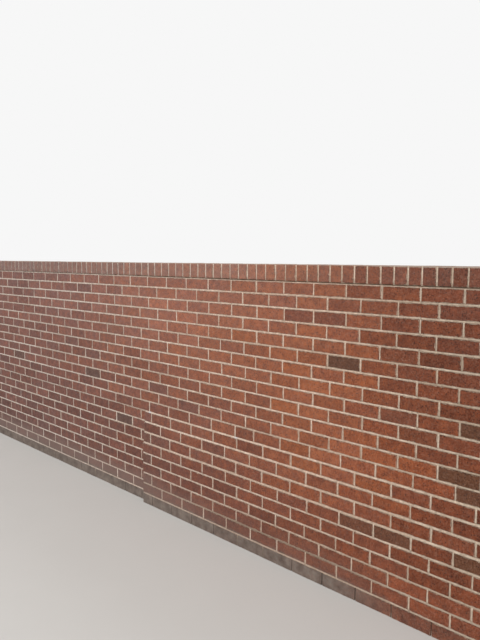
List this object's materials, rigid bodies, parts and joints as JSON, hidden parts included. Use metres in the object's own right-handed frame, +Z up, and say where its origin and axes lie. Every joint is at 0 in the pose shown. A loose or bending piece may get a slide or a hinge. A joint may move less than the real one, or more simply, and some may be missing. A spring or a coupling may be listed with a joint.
{
  "type": "brick garden wall",
  "caption": "Free-standing brick garden wall in running bond, two leaves thick, with a cap of bricks on edge and a base that steps forward along its right part.",
  "frame": {"origin": "middle of the footprint's box at ground level", "axes": "+X along the wall to the right as seen from the stepped face, +Y from the stepped face to the plain back face, +Z up"},
  "size_m": [7.3056, 0.2156, 1.668],
  "materials": {
    "cap_brick": "matt fired clay, worn arrises",
    "face_brick": "matt fired clay with fine dark specks",
    "base_brick": "matt fired clay with splashed soil near the ground",
    "mortar": "rough buff cement mortar"
  },
  "bodies": {
    "root": {"cap_bay_1": "cap_brick", "cap_bay_2": "cap_brick", "cap_bay_3": "cap_brick", "cap_bay_4": "cap_brick", "cap_bay_5": "cap_brick", "cap_bay_6": "cap_brick", "cap_bed_joint_bay_1": "mortar", "cap_bed_joint_bay_2": "mortar", "cap_bed_joint_bay_3": "mortar", "cap_bed_joint_bay_4": "mortar", "cap_bed_joint_bay_5": "mortar", "cap_bed_joint_bay_6": "mortar", "upper_leaf_bay_1": "face_brick", "upper_leaf_bay_2": "face_brick", "upper_leaf_bay_3": "face_brick", "upper_leaf_bay_4": "face_brick", "upper_leaf_bay_5": "face_brick", "upper_leaf_bay_6": "face_brick", "base_left_leaf_bay_1": "base_brick", "base_left_leaf_bay_2": "base_brick", "base_left_leaf_bay_3": "base_brick", "base_left_leaf_bay_4": "base_brick", "base_right_leaf_bay_4": "base_brick", "base_right_leaf_bay_5": "base_brick", "base_right_leaf_bay_6": "base_brick", "back_leaf_bay_1": "face_brick", "back_leaf_bay_2": "face_brick", "back_leaf_bay_3": "face_brick", "back_leaf_bay_4": "face_brick", "back_leaf_bay_5": "face_brick", "back_leaf_bay_6": "face_brick", "collar_joint_upper": "mortar", "collar_joint_base_left": "mortar", "collar_joint_base_right": "mortar"}
  },
  "joints": []
}
